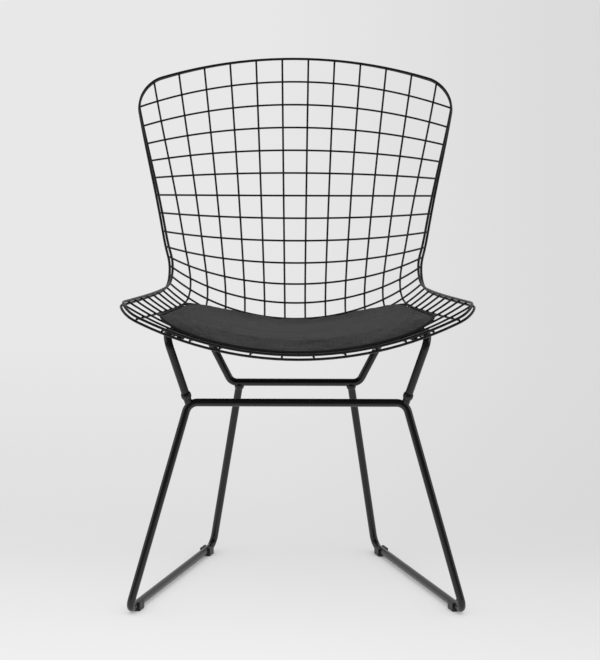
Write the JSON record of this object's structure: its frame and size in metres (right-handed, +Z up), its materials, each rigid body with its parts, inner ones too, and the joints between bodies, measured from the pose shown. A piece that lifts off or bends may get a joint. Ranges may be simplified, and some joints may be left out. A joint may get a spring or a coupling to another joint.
{
  "type": "wire mesh side chair",
  "caption": "Armless side chair with a welded wire mesh shell, a double wire rim, a bent rod sled base and a thin seat pad.",
  "frame": {"origin": "on the floor, in the middle of the chair's footprint box", "axes": "+Z up, the sitter faces -Y, +X is the sitter's left hand side"},
  "size_m": [0.5294, 0.5748, 0.8116],
  "materials": {
    "black_wire": "satin black powder coat",
    "black_rod": "satin black powder coat",
    "black_glide": "fine moulded grain",
    "black_clip": "satin black powder coat",
    "dark_fastener": "black oxide",
    "charcoal_cover": "matt coated fabric with a fine grain",
    "charcoal_welt": "matt coated fabric with a fine grain",
    "black_webbing": "woven webbing"
  },
  "bodies": {
    "root": {"clip_bolts": "dark_fastener", "clip_nuts": "dark_fastener", "cross_wire_01": "black_wire", "cross_wire_02": "black_wire", "cross_wire_03": "black_wire", "cross_wire_04": "black_wire", "cross_wire_05": "black_wire", "cross_wire_06": "black_wire", "cross_wire_07": "black_wire", "cross_wire_08": "black_wire", "cross_wire_09": "black_wire", "cross_wire_10": "black_wire", "cross_wire_11": "black_wire", "cross_wire_12": "black_wire", "cross_wire_13": "black_wire", "cross_wire_14": "black_wire", "cross_wire_15": "black_wire", "cross_wire_16": "black_wire", "cross_wire_17": "black_wire", "cross_wire_18": "black_wire", "cross_wire_19": "black_wire", "cross_wire_20": "black_wire", "cross_wire_21": "black_wire", "cross_wire_22": "black_wire", "frame_lower_rod": "black_rod", "frame_upper_rod": "black_rod", "glides": "black_glide", "long_wire_01": "black_wire", "long_wire_02": "black_wire", "long_wire_03": "black_wire", "long_wire_04": "black_wire", "long_wire_05": "black_wire", "long_wire_06": "black_wire", "long_wire_07": "black_wire", "long_wire_08": "black_wire", "long_wire_09": "black_wire", "long_wire_10": "black_wire", "long_wire_11": "black_wire", "long_wire_12": "black_wire", "loop_studs": "dark_fastener", "pad_loops": "black_webbing", "pad_piping": "charcoal_welt", "rim_lower": "black_wire", "rim_upper": "black_wire", "seat_clips": "black_clip", "seat_pad": "charcoal_cover", "weld_beads": "black_rod"}
  },
  "joints": []
}
